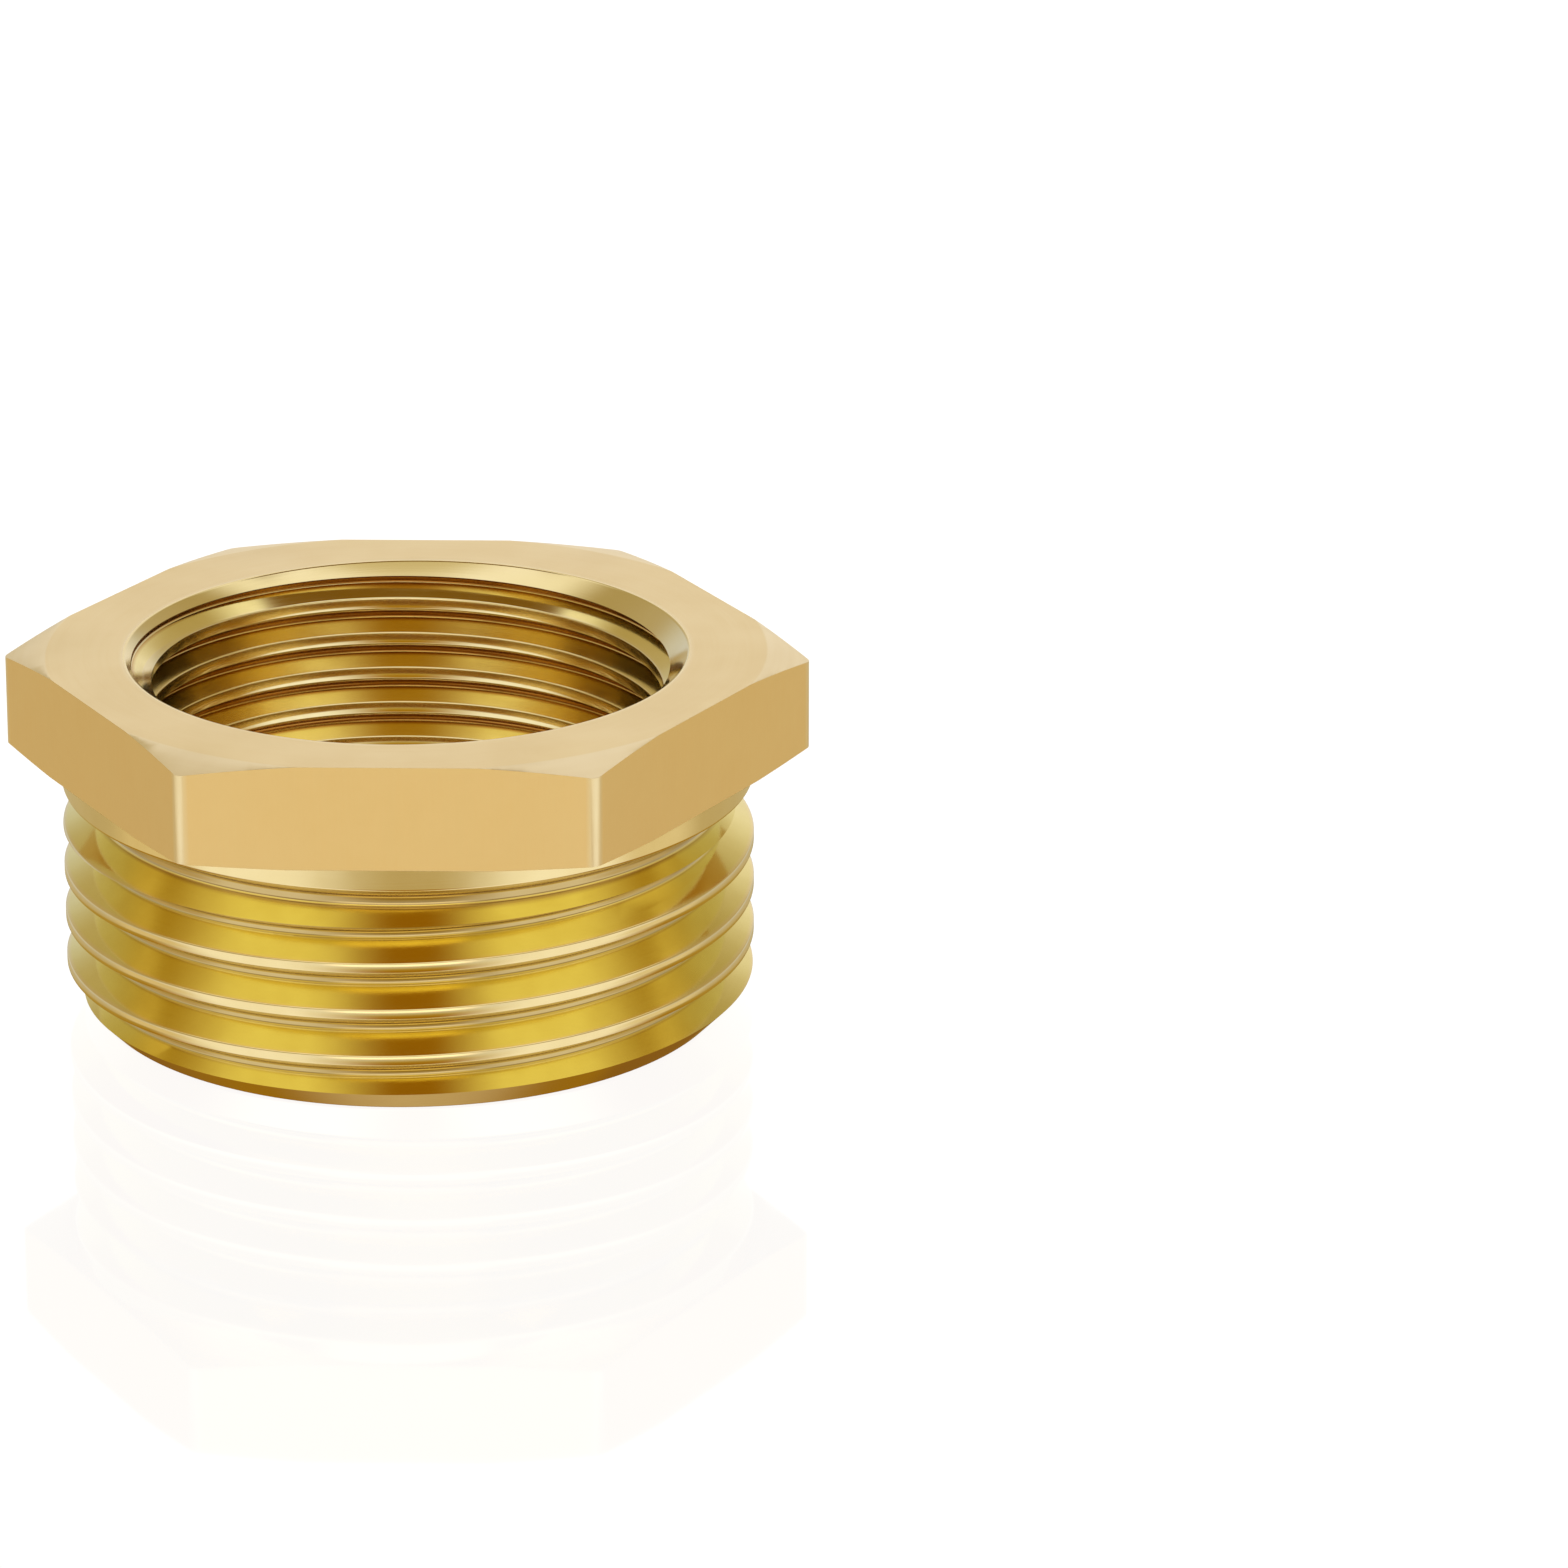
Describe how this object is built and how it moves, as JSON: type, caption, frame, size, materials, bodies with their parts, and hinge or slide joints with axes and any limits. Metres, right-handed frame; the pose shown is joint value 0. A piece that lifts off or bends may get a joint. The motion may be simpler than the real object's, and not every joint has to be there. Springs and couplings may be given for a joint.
{
  "type": "hex reducing bushing",
  "caption": "Brass hexagon-headed reducing bushing with a male pipe thread outside and a smaller female pipe thread through it, joining two pipe sizes.",
  "frame": {"origin": "centre of the flat end of the male thread, on the thread axis, where the part stands", "axes": "+Z along the thread axis towards the hexagon head, +X towards a corner of the hexagon, +Y towards a flat"},
  "size_m": [0.0386, 0.0336, 0.0175],
  "materials": {
    "brass": "machined bare brass: satin hexagon and faces, brighter turned threads, bore and chamfers"
  },
  "bodies": {
    "root": {"bushing_body": "brass"}
  },
  "joints": []
}
